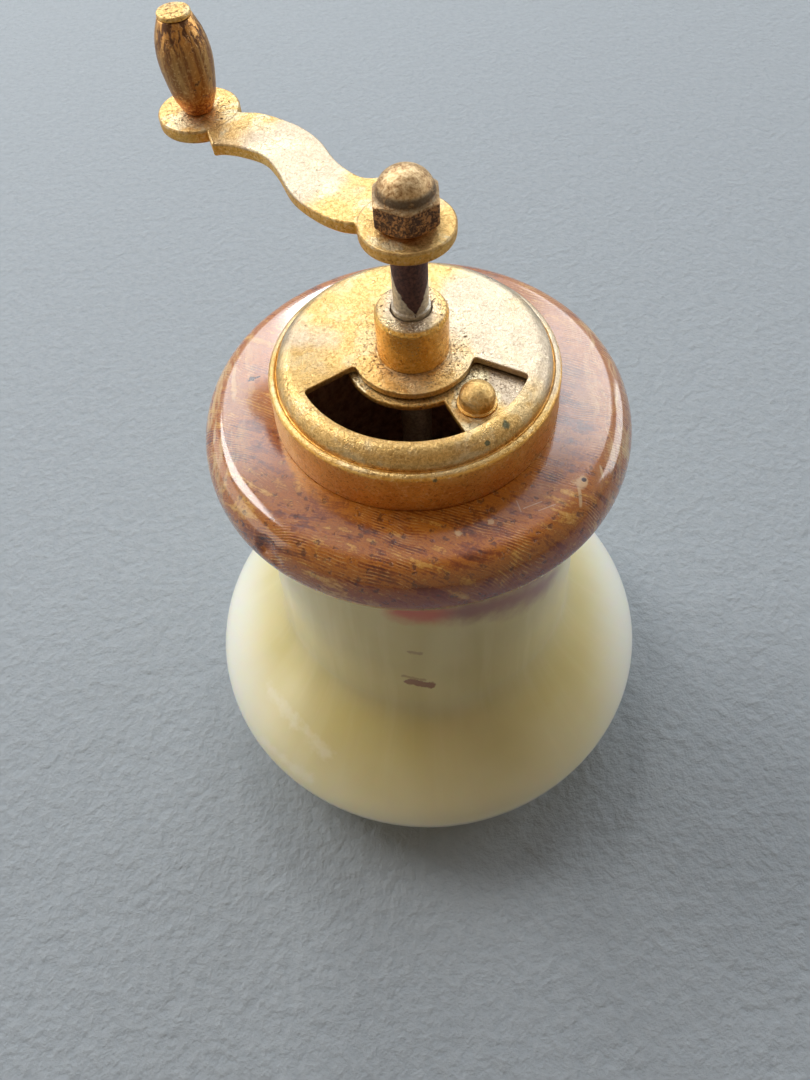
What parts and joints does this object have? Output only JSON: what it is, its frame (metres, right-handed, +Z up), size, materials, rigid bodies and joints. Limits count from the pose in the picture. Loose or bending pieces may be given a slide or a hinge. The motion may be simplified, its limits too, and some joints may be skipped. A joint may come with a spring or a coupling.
{
  "type": "spice mill",
  "caption": "Hand-cranked spice mill: a bell-shaped stone body under a round stone flange, a metal cap with a sliding shutter, and a wavy crank with a small knob.",
  "frame": {"origin": "centre of the foot's flat ring, on the spindle's axis", "axes": "+Z up along the spindle's axis, -Y towards the middle of the cap's filling window, +X to the right when the window faces the viewer"},
  "size_m": [0.0928, 0.0928, 0.137],
  "materials": {
    "pale_stone": "polished green and cream onyx",
    "brown_stone": "polished brown banded onyx",
    "gilt": "satin gold-coloured plating, spotted with age",
    "shutter": "dull gold-coloured plating with a grained top",
    "nut": "worn plating, brown in the corners",
    "rod": "grey plating flaked off to rust",
    "tin": "dull tinned steel",
    "burr": "rough cast teeth",
    "steel": "plain steel"
  },
  "bodies": {
    "base": {"stone_body": "pale_stone", "stone_flange": "brown_stone", "hopper_tube": "tin", "cap_shell": "gilt", "collar_bush": "gilt", "shutter_retainer": "steel", "burr_housing": "tin", "ring_burr": "burr", "guide_spider": "tin", "bottom_plate": "steel", "plate_screw_1": "steel", "plate_screw_2": "steel", "thrust_spring": "steel"},
    "shutter": {"shutter_plate": "shutter", "shutter_knob": "gilt"},
    "lift": {"thrust_ball": "steel"},
    "drive": {"spindle": "rod", "crank_arm": "gilt", "acorn_nut": "nut", "knob_rivet": "gilt", "cone_burr": "burr", "burr_nut": "steel", "spring_washer": "steel"},
    "knob": {"crank_knob": "gilt"},
    "adjuster": {"adjuster_screw": "steel"}
  },
  "joints": [
    {"name": "shutter_swing", "type": "hinge", "parent": "base", "child": "shutter", "pos_m": [0, 0, 0.1017], "axis": [0, 0, 1], "range_deg": [-94.5, 16.5]},
    {"name": "grind_lift", "type": "slide", "parent": "base", "child": "lift", "axis": [0, 0, 1], "range_m": [-0.0004, 0.0004], "deforming": ["thrust_spring"]},
    {"name": "adjuster_turn", "type": "hinge", "parent": "lift", "child": "adjuster", "pos_m": [0, 0, 0.004], "axis": [0, 0, 1], "range_deg": [-180, 180]},
    {"name": "crank_turn", "type": "hinge", "parent": "lift", "child": "drive", "pos_m": [0, 0, 0.1], "axis": [0, 0, 1], "continuous": true},
    {"name": "knob_spin", "type": "hinge", "parent": "drive", "child": "knob", "pos_m": [-0.02805, 0.0272, 0.13], "axis": [0, 0, 1], "continuous": true}
  ],
  "couplings": [
    {"joint": "adjuster_turn", "follows": "grind_lift", "rad_per_m": 7853.9}
  ]
}
